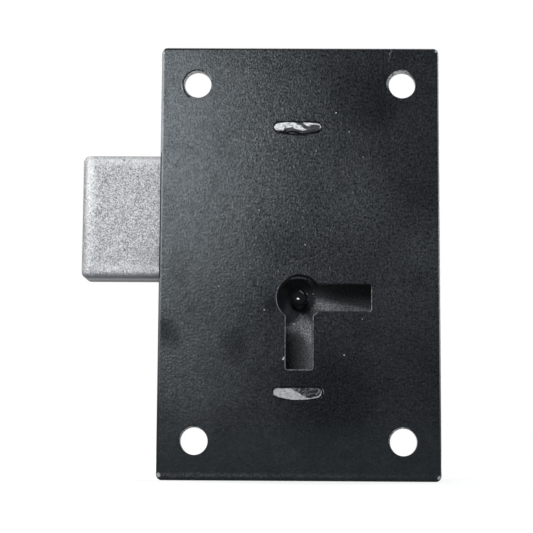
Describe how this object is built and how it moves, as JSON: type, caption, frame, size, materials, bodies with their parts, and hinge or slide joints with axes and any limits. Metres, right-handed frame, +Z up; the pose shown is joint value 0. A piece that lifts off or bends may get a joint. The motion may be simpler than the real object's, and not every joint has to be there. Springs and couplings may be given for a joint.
{
  "type": "cabinet lock",
  "caption": "Surface-fixed cupboard lock for a pipe key: black steel plate and folded case, two-way keyhole, sprung brass levers and a sliding bolt thrown to the left.",
  "frame": {"origin": "Middle of the four screw holes, on the plate's wood-side face.", "axes": "+X to the right as seen from the wood side, away from the thrown bolt; +Y from the wood side into the case; +Z up, as the lock is fixed on a left-shooting door."},
  "size_m": [0.0628, 0.0121, 0.076],
  "materials": {
    "black_paint_plate": "satin",
    "black_paint_case": "satin",
    "black_paint_pin": "gloss",
    "plated_bolt": "satin",
    "steel_posts": "satin",
    "brass_levers": "satin",
    "spring_steel": "polished"
  },
  "bodies": {
    "lock_body": {"mounting_plate": "black_paint_plate", "lock_case": "black_paint_case", "drill_pin": "black_paint_pin", "bolt_guide_stud": "steel_posts", "lever_pivot": "steel_posts"},
    "bolt": {"bolt": "plated_bolt", "bolt_stump": "steel_posts"},
    "lever_1": {"lever_1": "brass_levers", "lever_spring_1": "spring_steel"},
    "lever_2": {"lever_2": "brass_levers", "lever_spring_2": "spring_steel"},
    "lever_3": {"lever_3": "brass_levers", "lever_spring_3": "spring_steel"},
    "lever_4": {"lever_4": "brass_levers", "lever_spring_4": "spring_steel"}
  },
  "joints": [
    {"name": "bolt_slide", "type": "slide", "parent": "lock_body", "child": "bolt", "axis": [1, 0, 0], "range_m": [0, 0.0136]},
    {"name": "lever_1_lift", "type": "hinge", "parent": "lock_body", "child": "lever_1", "pos_m": [0.0176, 0, 0.01056], "axis": [0, 1, 0], "range_deg": [-5, 7], "stiffness_Nm_per_rad": 0.0137, "springref_deg": -25.21, "deforming": ["lever_spring_1"]},
    {"name": "lever_2_lift", "type": "hinge", "parent": "lock_body", "child": "lever_2", "pos_m": [0.0176, 0, 0.01056], "axis": [0, 1, 0], "range_deg": [-7.5, 4.5], "stiffness_Nm_per_rad": 0.0137, "springref_deg": -25.21, "deforming": ["lever_spring_2"]},
    {"name": "lever_3_lift", "type": "hinge", "parent": "lock_body", "child": "lever_3", "pos_m": [0.0176, 0, 0.01056], "axis": [0, 1, 0], "range_deg": [-6, 6], "stiffness_Nm_per_rad": 0.0137, "springref_deg": -25.21, "deforming": ["lever_spring_3"]},
    {"name": "lever_4_lift", "type": "hinge", "parent": "lock_body", "child": "lever_4", "pos_m": [0.0176, 0, 0.01056], "axis": [0, 1, 0], "range_deg": [-9, 3], "stiffness_Nm_per_rad": 0.0137, "springref_deg": -25.21, "deforming": ["lever_spring_4"]}
  ]
}
